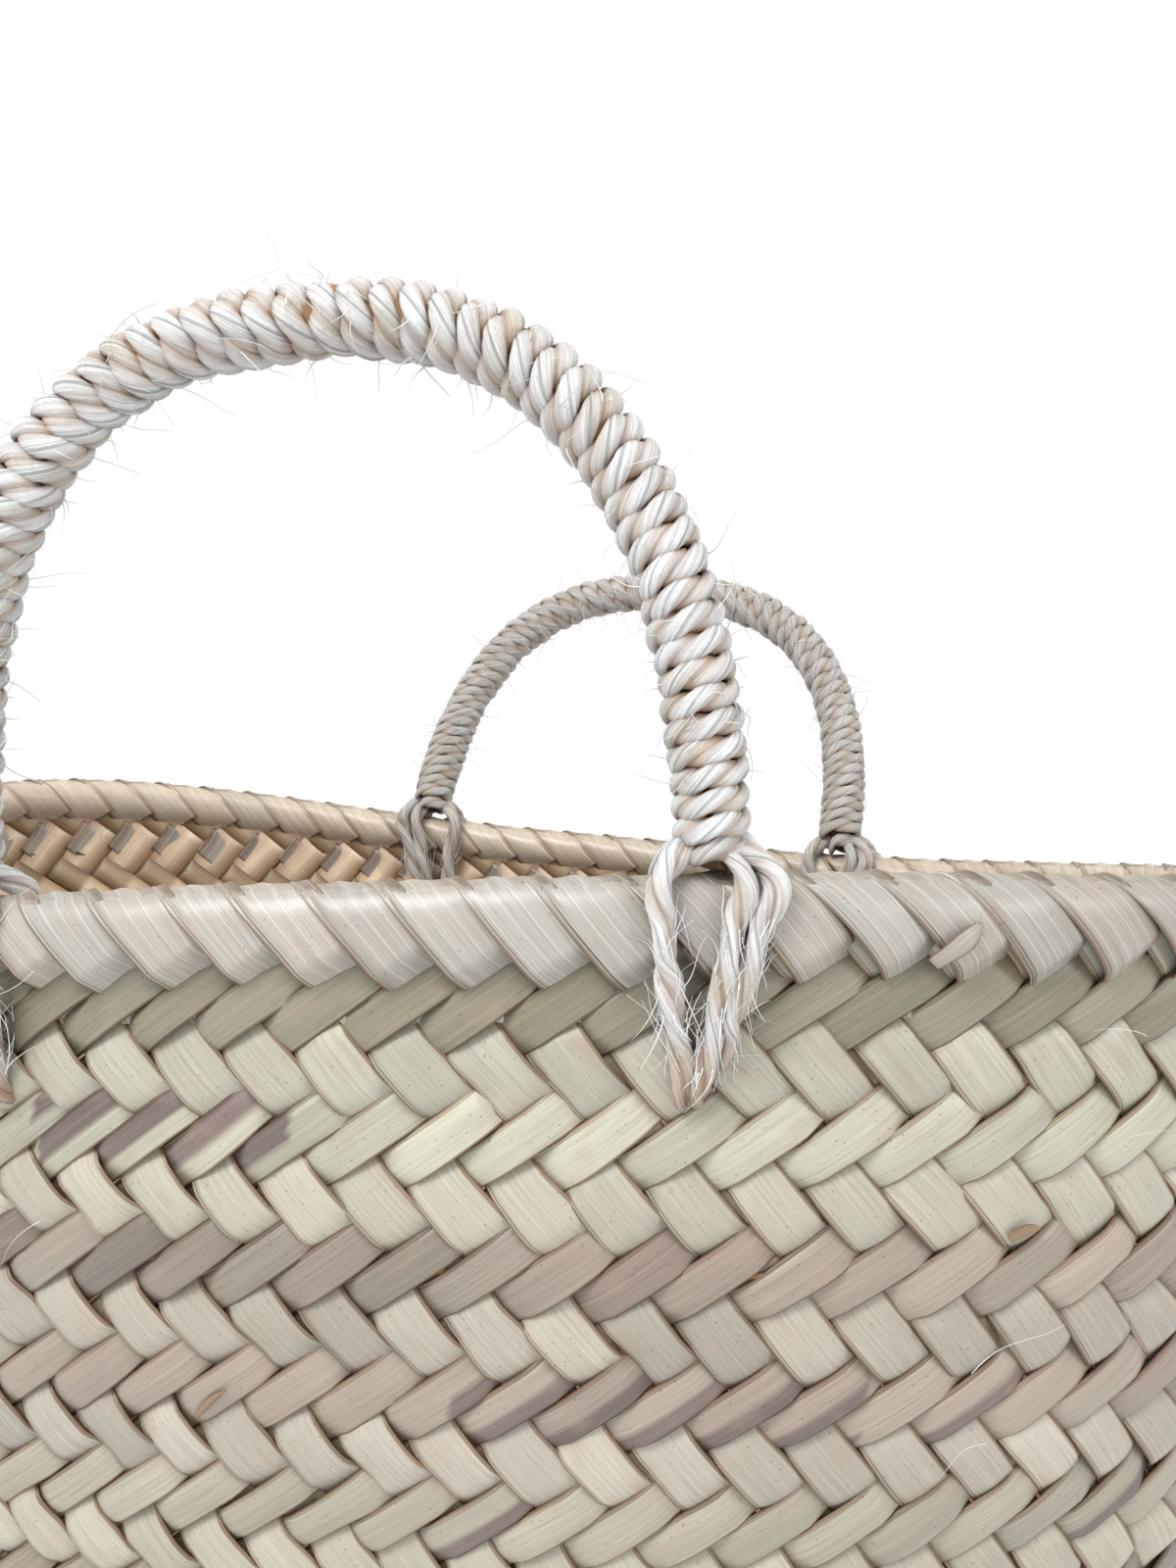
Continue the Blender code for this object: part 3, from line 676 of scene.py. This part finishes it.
def lashing_path(prefix, hand, strand):
    """From inside the foot, down the outside of the wall, through it at the tip and back up the inside."""
    offset, side, _ = HANDLES[prefix]
    outward = 1 if hand == "right" else -1
    foot_x = offset + outward * HANDLE_HALF_SPAN
    top, tip, depth = STRAND_PLACES[strand]
    inward = FRONT_LEFT_TIP_INWARD if (prefix, hand) == ("front", "left") else TIP_INWARD
    tip = tip - inward * depth / STRAND_PLACES["inner"][2]
    number = len(strand) * 7 + (3 if hand == "left" else 5) + (11 if prefix == "front" else 0)
    r = np.random.default_rng(number)
    # over the rim: depth, offset out of the wall, share of the strand's place at the rim
    over = [(-0.0070, 0.0008, 0.40), (-0.0038, 0.0036, 0.74), (-0.0004, 0.0072, 0.97),
            (0.0030, 0.0086, 1.0)]
    rows = [(top * share, s, o) for s, o, share in over]
    # down the wall to the tip: depth, offset out of the wall
    down = [(0.0085, 0.0088), (0.0160, 0.0086), (0.0260, 0.0074), (depth - 0.0085, 0.0052),
            (depth - 0.0040, 0.0046), (depth - 0.0012, 0.0026)]
    jitter = r.normal(size=len(over) + len(down))[len(over):] * 0.00025
    for (s, o), off in zip(down, jitter):
        x = top + (tip - top) * min(s / (depth - 0.003), 1.0)
        rows.append((x + off, s, o))
    rows = rows + [(tip, depth - 0.0002, 0.0)] + [(x, s, -o) for x, s, o in reversed(rows)]
    x, s, o = catmull(rows, 16).T
    f = share_at(foot_x + outward * x, side)
    flat = np.maximum(s, 0.0)
    points = wall(f, flat) + wall_normal(f, np.maximum(flat, LOWEST_NORMAL)) * o[:, None]
    points[:, 2] += np.maximum(-s, 0.0)
    return points


def lashing(prefix, hand, strand):
    """One two-ply lashing cord, thinner at its tip and darkened there with painted shade, and its path."""
    path = lashing_path(prefix, hand, strand)
    run = lengths_along(path)
    fine = np.linspace(0, run[-1], int(run[-1] / 0.0007))
    path = np.stack([np.interp(fine, run, path[:, i]) for i in range(3)], -1)
    seed = 100 + sum(map(ord, prefix + hand + strand)) % 50
    _, across, other = path_frames(path, np.array([1.0, 0, 0]))
    near_tip = np.exp(-(((fine - fine[-1] / 2) / 0.011) ** 2))
    diameter = CORD * (1 - 0.28 * near_tip)
    out, uvs, tints = plies(path, across, other, diameter, LASHING_PLY_PITCH, 2, 22, seed,
                            SISAL, fullness=0.31, silk=0.06)
    # painted shade where the tip tucks under the wall's strands
    brown = 0.70 * near_tip[:, None, None] ** 0.5
    tints = [(tint * (1 - brown) + SISAL_SHADE_BROWN * brown) * HANDLE_SHADE_TONES[prefix] for tint in tints]
    return cord_object(f"{prefix}_{hand}_lashing_{strand}_cord", (out, uvs, tints)), path


def fibres(name, roots, directions, lengths, radius, curl, seed, colours):
    """Loose fibres: thin tapered tubes that start at the roots and bend at random."""
    r = np.random.default_rng(seed)
    n, c = len(roots), 4
    t = np.linspace(0, 1, 11)[None, :, None]
    way = unit(directions)
    bend1 = unit(np.cross(way, unit(r.normal(size=(n, 3)))))
    bend2 = unit(np.cross(way, bend1))
    size = lengths[:, None, None]
    amount = r.normal(size=(n, 2)) * curl
    bend = bend1[:, None] * (t**2 * amount[:, :1, None])
    wave = bend2[:, None] * (np.sin(t * 5) * 0.12 * amount[:, 1:, None])
    path = roots[:, None] + size * (way[:, None] * t + bend + wave)
    psi = np.linspace(0, 2 * math.pi, c, endpoint=False)[None, None, :, None]
    ring = np.cos(psi) * bend1[:, None, None] + np.sin(psi) * bend2[:, None, None]
    thin = (radius * (1 - 0.65 * t))[..., None] * (0.7 + 0.6 * r.random(size=(n, 1, 1, 1)))
    points = path[:, :, None] + ring * thin
    mix = r.random(size=(n, 1, 1, 1))
    tint = np.broadcast_to(colours[0] * mix + colours[1] * (1 - mix), points.shape)
    uv = np.zeros(points.shape[:3] + (2,)) + r.random(size=(n, 1, 1, 2)) * 100
    return grid_mesh(name, points, uv, tint)


def handle_fibres(prefix, centre, radial, outer):
    """Stray sisal ends on a handle."""
    r = np.random.default_rng(71 if prefix == "front" else 72)
    count, margin = 320, 140
    pick = r.integers(margin, len(centre) - margin, count)
    tangent = unit(centre[pick + 5] - centre[pick - 5])
    roots = centre[pick] + radial[pick] * (outer[pick] - 0.0006)[:, None]
    around = np.cross(tangent, radial[pick])
    lie = r.choice([-1.0, 1.0], size=(count, 1))
    lifted = np.abs(r.normal(size=(count, 1))) * 0.45 + 0.08
    directions = around * lie + radial[pick] * lifted + tangent * r.normal(size=(count, 1)) * 0.5
    lengths = 0.004 + 0.010 * r.random(count) ** 2
    lengths[:14] = 0.012 + 0.007 * r.random(14)
    name = prefix + "_handle_fibres"
    return fibres(name, roots, directions, lengths, 0.00013, 0.5, 81, SISAL[:2])


def lashing_fibres(name, paths, seed):
    """Frayed fibres round the lashings of one foot, below the part that bends with the handle."""
    r = np.random.default_rng(seed)
    roots, directions, lengths = [], [], []
    for path in paths:
        run = lengths_along(path)
        t, a, b = path_frames(path, np.array([1.0, 0, 0]))
        for _ in range(FRAYED_PER_STRAND):
            where = r.random() ** 0.7
            i = int(np.interp((0.13 + 0.30 * where) * run[-1], run, np.arange(len(path))))
            if r.random() < 0.35:
                i = len(path) - 1 - i
            angle = r.random() * 2 * math.pi
            out = math.cos(angle) * a[i] + math.sin(angle) * b[i]
            roots.append(path[i] + out * CORD * 0.42)
            lifted = out * (0.08 + 0.42 * r.random() ** 2)
            directions.append(lifted + t[i] * r.choice([-1, 1]) + r.normal(size=3) * 0.12)
            lengths.append(0.005 + 0.008 * r.random() ** 2)
    roots, directions, lengths = map(np.array, (roots, directions, lengths))
    return fibres(name, roots, directions, lengths, 0.00015, 0.45, seed + 1, SISAL[:2])


def ring_cord(name, s, diameter, pitch, sides=6, count=2, step=0.0011):
    """A twisted brown cord all the way round the basket at one depth."""
    n = int(AROUND / step)
    f = np.linspace(0, 1, n)
    path = wall(f, np.full(n, s))
    normal = wall_normal(f, np.full(n, max(s, LOWEST_NORMAL)))
    tangent = unit(np.gradient(path, axis=0))
    normal = unit(normal - tangent * np.sum(normal * tangent, -1, keepdims=True))
    parts = plies(path, normal, np.cross(tangent, normal), diameter, pitch, count, sides, 5,
                  (CORE_BROWN,) * 3)
    return cord_object(name, parts)


def leaf_slivers(name):
    """Split ends of leaf: a curled one under the rim, then two slivers between strands."""
    # X, depth, offset out of the wall, length, width, slant upwards
    pieces = (
        (0.1300, 0.0172, 0.0062, 0.0120, 0.0044, 0.62),
        (0.1500, 0.0750, 0.0036, 0.0068, 0.0026, 0.15),
        (-0.0300, 0.1180, 0.0030, 0.0100, 0.0018, 0.6),
    )
    out, uvs, tints = [], [], []
    t = np.linspace(0, 1, 18)
    psi = np.linspace(0, 2 * math.pi, 10, endpoint=False)
    edge = (np.abs(np.cos(psi)) ** 6)[None, :, None]
    for i, (x, s, o, long, wide, slant) in enumerate(pieces):
        curled = i == 0
        f = (float(share_at(x, -1)) * AROUND + long * t * math.cos(slant)) / AROUND
        ss = s - long * t * math.sin(slant) - 0.0016 * np.sin(t * 2.2)
        lifted = o + 0.0030 * np.sin(t * math.pi) * curled + 0.0006 * t
        centre = wall(f, ss) + wall_normal(f, ss) * lifted[:, None]
        tangent = unit(np.gradient(centre, axis=0))
        normal = wall_normal(f, ss)
        side = np.cross(tangent, normal)
        bow = np.sin(np.clip(t * 0.95 + 0.12, 0, 1) * math.pi) ** (0.2 if curled else 0.6)
        taper = wide / 2 * (0.25 + 0.75 * bow)
        points = centre[:, None] + np.cos(psi)[None, :, None] * side[:, None] * taper[:, None, None]
        points = points + np.sin(psi)[None, :, None] * normal[:, None] * 0.0003
        out.append(points)
        colour = RIM_PINK * RIM_TONE if curled else SLIVER_BROWN * LEAF_TONE
        tints.append(np.broadcast_to(colour * (1 - edge * (1 - EDGE_BROWN)), points.shape))
        span, length = np.broadcast_arrays(np.cos(psi) * wide / 2 / MM + 50 * i, t[:, None] * long / MM)
        uvs.append(np.stack([span, length], -1))
    return grid_mesh(name, np.array(out), np.array(uvs), np.array(tints))


def wall_fibres(name):
    """A few fallen sisal fibres that lie on the wall."""
    r = np.random.default_rng(91)
    count = 14
    f = np.concatenate([(r.random(6) - 0.45) * 0.32, r.random(count - 6)])
    s = 0.008 + r.random(count) * 0.12
    normal = wall_normal(f, s)
    along = unit(wall(f + 0.002, s) - wall(f, s))
    roots = wall(f, s) + normal * (0.0040 + 0.0030 * (s < 0.03))[:, None]
    angle = r.random(count)[:, None] * 2 * math.pi
    directions = along * np.cos(angle) + np.array([0, 0, 1]) * np.sin(angle) + normal * 0.12
    lengths = 0.008 + 0.016 * r.random(count)
    return fibres(name, roots, directions, lengths, 0.00008, 0.9, 92, SISAL[:2])


class Nodes:
    """Small helper to chain shader nodes."""

    def __init__(self, name, roughness, specular=0.5):
        self.material = bpy.data.materials.new(name)
        self.material.use_nodes = True
        self.tree = self.material.node_tree
        self.shader = self.tree.nodes["Principled BSDF"]
        self.shader.inputs["Roughness"].default_value = roughness
        self.shader.inputs["Specular IOR Level"].default_value = specular
        uv = self.tree.nodes.new("ShaderNodeUVMap")
        uv.uv_map = "Strand"
        self.uv = uv.outputs[0]
        tint = self.tree.nodes.new("ShaderNodeAttribute")
        tint.attribute_name = "Tint"
        self.colour = tint.outputs["Color"]

    def link(self, a, b):
        self.tree.links.new(a, b)

    def stretched(self, across, along):
        node = self.tree.nodes.new("ShaderNodeMapping")
        node.inputs["Scale"].default_value = (across, along, 1.0)
        self.link(self.uv, node.inputs["Vector"])
        return node.outputs[0]

    def noise(self, vector, detail, rough):
        node = self.tree.nodes.new("ShaderNodeTexNoise")
        node.inputs["Scale"].default_value = 1.0
        node.inputs["Detail"].default_value = detail
        node.inputs["Roughness"].default_value = rough
        self.link(vector, node.inputs["Vector"])
        return node.outputs["Fac"]

    def ranged(self, value, low, high, to_low, to_high):
        node = self.tree.nodes.new("ShaderNodeMapRange")
        for key, number in (("From Min", low), ("From Max", high), ("To Min", to_low), ("To Max", to_high)):
            node.inputs[key].default_value = number
        self.link(value, node.inputs["Value"])
        return node.outputs[0]

    def scale_colour(self, value):
        node = self.tree.nodes.new("ShaderNodeVectorMath")
        node.operation = "SCALE"
        self.link(self.colour, node.inputs[0])
        self.link(value, node.inputs["Scale"])
        self.colour = node.outputs[0]

    def mix_colour(self, value, colour):
        node = self.tree.nodes.new("ShaderNodeMix")
        node.data_type = "RGBA"
        self.link(value, node.inputs[0])
        self.link(self.colour, node.inputs[6])
        node.inputs[7].default_value = (*colour, 1.0)
        self.colour = node.outputs[2]

    def finish(self, height, strength, distance):
        self.link(self.colour, self.shader.inputs["Base Color"])
        bump = self.tree.nodes.new("ShaderNodeBump")
        bump.inputs["Strength"].default_value = strength
        bump.inputs["Distance"].default_value = distance
        self.link(height, bump.inputs["Height"])
        self.link(bump.outputs[0], self.shader.inputs["Normal"])
        return self.material


def leaf_material(name, ribs, roughness):
    """Dry palm leaf: fine veins along the strand, pale ribs, small freckles and brownish blotches."""
    n = Nodes(name, roughness)
    veins = n.noise(n.stretched(1.5, 0.03), 5.0, 0.68)
    n.scale_colour(n.ranged(veins, 0.32, 0.68, 0.80, 1.15))
    blotch = n.noise(n.stretched(0.16, 0.07), 2.0, 0.5)
    n.mix_colour(n.ranged(blotch, 0.56, 0.80, 0.0, 0.45), srgb(150, 127, 108))
    rib = n.tree.nodes.new("ShaderNodeTexWave")
    rib.wave_type = "BANDS"
    rib.bands_direction = "X"
    rib.inputs["Scale"].default_value = 0.095
    rib.inputs["Distortion"].default_value = 0.0
    n.link(n.stretched(1.0, 0.0), rib.inputs["Vector"])
    n.mix_colour(n.ranged(rib.outputs["Fac"], 0.975, 1.0, 0.0, ribs), srgb(222, 217, 205))
    spots = n.tree.nodes.new("ShaderNodeTexVoronoi")
    spots.inputs["Scale"].default_value = 1.0
    n.link(n.stretched(0.55, 0.38), spots.inputs["Vector"])
    n.scale_colour(n.ranged(spots.outputs["Distance"], 0.05, 0.12, 0.45, 1.0))
    return n.finish(veins, 0.35, 0.0003)


def sisal_material():
    """Silky fibre: very fine streaks along the ply."""
    n = Nodes("sisal", 0.36)
    n.shader.inputs["Sheen Weight"].default_value = 0.15
    streaks = n.noise(n.stretched(1.7, 0.07), 5.0, 0.72)
    n.scale_colour(n.ranged(streaks, 0.36, 0.64, 0.68, 1.16))
    warm = n.noise(n.stretched(0.8, 0.05), 2.0, 0.5)
    n.mix_colour(n.ranged(warm, 0.54, 0.76, 0.0, 0.32), srgb(196, 172, 132))
    return n.finish(streaks, 1.0, 0.0008)


def plain_material(name, roughness):
    """Coarse brown fibre."""
    n = Nodes(name, roughness)
    streaks = n.noise(n.stretched(2.0, 0.3), 3.0, 0.6)
    n.scale_colour(n.ranged(streaks, 0.3, 0.7, 0.75, 1.15))
    return n.finish(streaks, 0.5, 0.0004)


def place(piece, body, slot_name, material, *nodes_stood_for):
    """Gives a piece its material and what the frame has to know about it."""
    piece.data.materials.clear()
    piece.data.materials.append(material)
    if body:
        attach(piece, body)
    if nodes_stood_for:
        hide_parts(*nodes_stood_for)
    return piece


def build_walls():
    leaf = leaf_material("leaf", 0.05, 0.40)
    for kind in "UV":
        # the parts meet at the two seams, and each strand is parted where it lies under others
        shift = 0.0 if kind == "U" else 2.0
        stops = (-1.9, UPPER_SEAM_ROW + shift, LOWER_SEAM_ROW + shift, LAST_ROW)
        for part, low, high in zip(("upper", "middle", "lower"), stops, stops[1:]):
            course = plait(f"plait_{part}_{kind}", kind, low, high)
            place(course, "basket", "palm_leaf", leaf, f"wall_course_{part}")
    place(base_plait("base_floor"), "basket", "palm_leaf", leaf, "base_plait")
    rim = leaf_material("rim_leaf", 0.28, 0.34)
    place(rim_wraps("rim_wraps"), "basket", "rim_leaf", rim, "rim_leaf_wrap")
    place(leaf_slivers("leaf_slivers"), "basket", "palm_leaf", leaf)


def build_cords():
    fibre = plain_material("brown_fibre", 0.8)
    for name, row in (("upper", UPPER_SEAM_ROW), ("lower", LOWER_SEAM_ROW)):
        cord = ring_cord(f"seam_{name}", float(rows_to_depth(row)), SEAM_CORD, SEAM_PLY_PITCH)
        place(cord, "basket", "seam_cord", fibre, f"seam_cord_{name}")
    cord = ring_cord("seam_base", float(DOWN_S[-1]) - SEAM_CORD, SEAM_CORD, SEAM_PLY_PITCH)
    place(cord, "basket", "seam_cord", fibre, "base_seam_cord")
    rope = ring_cord("rim_rope", 0.0053, 0.0066, 0.022, sides=8, count=3, step=0.002)
    place(rope, "basket", "core_rope", fibre, "rim_core_rope")


def build_handles():
    sisal = sisal_material()
    fibre = plain_material("core_fibre", 0.8)
    for prefix, (offset, side, _) in HANDLES.items():
        body = prefix + "_handle"
        wrap, centre, radial, outer = handle_wrap(prefix)
        place(wrap, body, "sisal_cord", sisal, prefix + "_handle_cord_wrap")
        place(handle_core(prefix), body, "core_rope", fibre, prefix + "_handle_core_rope")
        place(handle_fibres(prefix, centre, radial, outer), body, "sisal_cord", sisal)
        for hand, outward in (("left", -1), ("right", 1)):
            paths = []
            for strand in STRAND_PLACES:
                cord, path = lashing(prefix, hand, strand)
                paths.append(path)
                place(cord, None, "sisal_cord", sisal, f"{prefix}_{hand}_lashing_{strand}")
                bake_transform(cord)
            name = f"{prefix}_{hand}_frayed_fibres"
            frayed = lashing_fibres(name, paths, 200 + outward * 3 + side)
            place(frayed, "basket", "sisal_cord", sisal)
    place(wall_fibres("fallen_fibres"), "basket", "sisal_cord", sisal)


def build_camera():
    data = bpy.data.cameras.new("camera")
    cam = bpy.data.objects.new("camera", data)
    bpy.context.scene.collection.objects.link(cam)
    data.sensor_fit = "VERTICAL"
    data.sensor_height = 36.0
    data.sensor_width = 36.0
    data.lens = 30.2175
    data.clip_start = 0.01
    data.clip_end = 50
    yaw, pitch, roll = -0.183, 0.032, 0.006
    level = math.cos(pitch)
    look = Vector((math.sin(yaw) * level, math.cos(yaw) * level, -math.sin(pitch)))
    cam.location = Vector((0.1103, -0.4068, RIM_HEIGHT + 0.03665))
    cam.rotation_mode = "QUATERNION"
    roll_turn = Matrix.Rotation(roll, 3, "Z").to_quaternion()
    cam.rotation_quaternion = look.to_track_quat("-Z", "Y") @ roll_turn
    bpy.context.scene.camera = cam


def area_light(name, location, target, size, power):
    data = bpy.data.lights.new(name, "AREA")
    data.shape = "SQUARE"
    data.size = size
    data.energy = power
    light = bpy.data.objects.new(name, data)
    bpy.context.scene.collection.objects.link(light)
    light.location = location
    light.rotation_mode = "QUATERNION"
    light.rotation_quaternion = (Vector(target) - Vector(location)).to_track_quat("-Z", "Y")


def build_stage():
    world = bpy.data.worlds.new("studio")
    bpy.context.scene.world = world
    world.use_nodes = True
    background = world.node_tree.nodes["Background"]
    background.inputs["Color"].default_value = (1, 1, 1, 1)
    background.inputs["Strength"].default_value = 1.0
    mesh = bpy.data.meshes.new("floor")
    radius, corners = 1.5, 64
    angles = [2 * math.pi * i / corners for i in range(corners)]
    ring = [(radius * math.cos(a), radius * math.sin(a), 0.0) for a in angles]
    mesh.from_pydata(ring, [], [tuple(range(corners))])
    floor = bpy.data.objects.new("floor", mesh)
    bpy.context.scene.collection.objects.link(floor)
    pale = bpy.data.materials.new("pale_floor")
    pale.use_nodes = True
    shader = pale.node_tree.nodes["Principled BSDF"]
    shader.inputs["Base Color"].default_value = (0.86, 0.86, 0.85, 1)
    shader.inputs["Roughness"].default_value = 0.8
    mesh.materials.append(pale)
    area_light("key", (-0.5, -1.0, 1.4), (0, 0, 0.2), 0.7, 24.0)
    area_light("side", (1.2, -0.8, 0.8), (0.1, 0, 0.2), 0.4, 6.0)


build_walls()
build_cords()
build_handles()
build_camera()
build_stage()
bpy.context.scene.view_settings.view_transform = "Standard"
